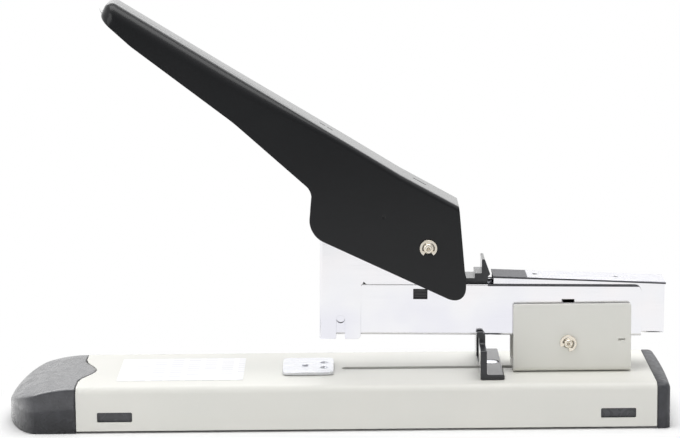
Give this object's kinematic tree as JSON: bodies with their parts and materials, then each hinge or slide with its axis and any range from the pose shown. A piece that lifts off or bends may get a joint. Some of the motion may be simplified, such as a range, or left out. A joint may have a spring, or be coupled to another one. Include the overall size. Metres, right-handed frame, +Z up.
{
  "type": "heavy duty stapler",
  "caption": "Heavy duty desk stapler: long sheet steel base with dark end caps and anvil, sliding paper guide, chromed head with magazine, and a long black lever that drives the blade.",
  "frame": {"origin": "on the table under the middle of the base: the centre of the bounding box's bottom", "axes": "+Z up; +X along the base from the stapling end to the rear; +Y across the base, away from the side with the open clip mouths"},
  "size_m": [0.29, 0.07, 0.1855],
  "materials": {
    "base_paint": "pale grey cream paint, satin",
    "lever_paint": "black paint, satin",
    "cap_plastic": "dark grey, finely textured",
    "dark_plastic": "near black, satin",
    "chrome": "bright plating",
    "zinc_steel": "bright zinc plating",
    "spring_steel": "oiled spring wire"
  },
  "bodies": {
    "base": {"base_shell": "base_paint", "front_cap": "cap_plastic", "rear_cap": "cap_plastic", "anvil": "chrome", "anvil_rivet": "zinc_steel", "bracket": "base_paint", "bracket_rivet_1": "zinc_steel", "bracket_rivet_2": "zinc_steel", "bracket_rivet_3": "zinc_steel", "bracket_rivet_4": "zinc_steel", "bracket_pin": "zinc_steel", "bracket_clip_near": "zinc_steel", "bracket_clip_far": "zinc_steel", "pivot_washer_near": "zinc_steel", "pivot_washer_far": "zinc_steel", "head_return_spring": "spring_steel"},
    "guide": {"paper_guide": "dark_plastic", "guide_rivet": "chrome", "guide_retainer": "zinc_steel"},
    "head": {"head_frame": "chrome", "tower": "chrome", "handle_pin": "zinc_steel", "handle_clip_near": "zinc_steel", "handle_clip_far": "zinc_steel", "handle_spring": "spring_steel"},
    "lever": {"handle_shell": "lever_paint", "handle_core": "zinc_steel", "drive_pin": "zinc_steel"},
    "driver": {"plunger": "zinc_steel", "driver_blade": "zinc_steel", "driver_rivet_low": "zinc_steel", "driver_rivet_high": "zinc_steel"},
    "magazine": {"magazine_channel": "chrome", "staple_rail": "zinc_steel", "magazine_cover": "chrome", "magazine_end_plate": "zinc_steel", "follower_rod": "zinc_steel"},
    "pusher": {"follower": "zinc_steel", "follower_spring": "spring_steel"},
    "catch": {"latch": "dark_plastic"}
  },
  "joints": [
    {"name": "guide_slide", "type": "slide", "parent": "base", "child": "guide", "axis": [1, 0, 0], "range_m": [-0.058, 0.003]},
    {"name": "head_hinge", "type": "hinge", "parent": "base", "child": "head", "pos_m": [0.1017, 0, 0.0331], "axis": [0, -1, 0], "range_deg": [0, 7.2], "stiffness_Nm_per_rad": 2, "springref_deg": -20.05, "deforming": ["head_return_spring"]},
    {"name": "lever_hinge", "type": "hinge", "parent": "head", "child": "lever", "pos_m": [0.04051, 0, 0.07618], "axis": [0, -1, 0], "range_deg": [0, 24.6], "stiffness_Nm_per_rad": 0.8, "springref_deg": -34.38, "deforming": ["handle_spring"]},
    {"name": "driver_slide", "type": "slide", "parent": "head", "child": "driver", "axis": [-0.0143, 0, -0.9999], "range_m": [0, 0.0172]},
    {"name": "magazine_slide", "type": "slide", "parent": "head", "child": "magazine", "axis": [0.9999, 0, -0.0143], "range_m": [0, 0.1]},
    {"name": "follower_slide", "type": "slide", "parent": "magazine", "child": "pusher", "axis": [0.9999, 0, -0.0143], "range_m": [0, 0.075], "stiffness_N_per_m": 30, "springref_m": -0.05, "deforming": ["follower_spring"]},
    {"name": "latch_slide", "type": "slide", "parent": "magazine", "child": "catch", "axis": [-0.9999, 0, 0.0143], "range_m": [0, 0.004], "stiffness_N_per_m": 400, "springref_m": -0.003}
  ],
  "couplings": [
    {"joint": "driver_slide", "follows": "lever_hinge", "m_per_rad": 0.039773}
  ]
}
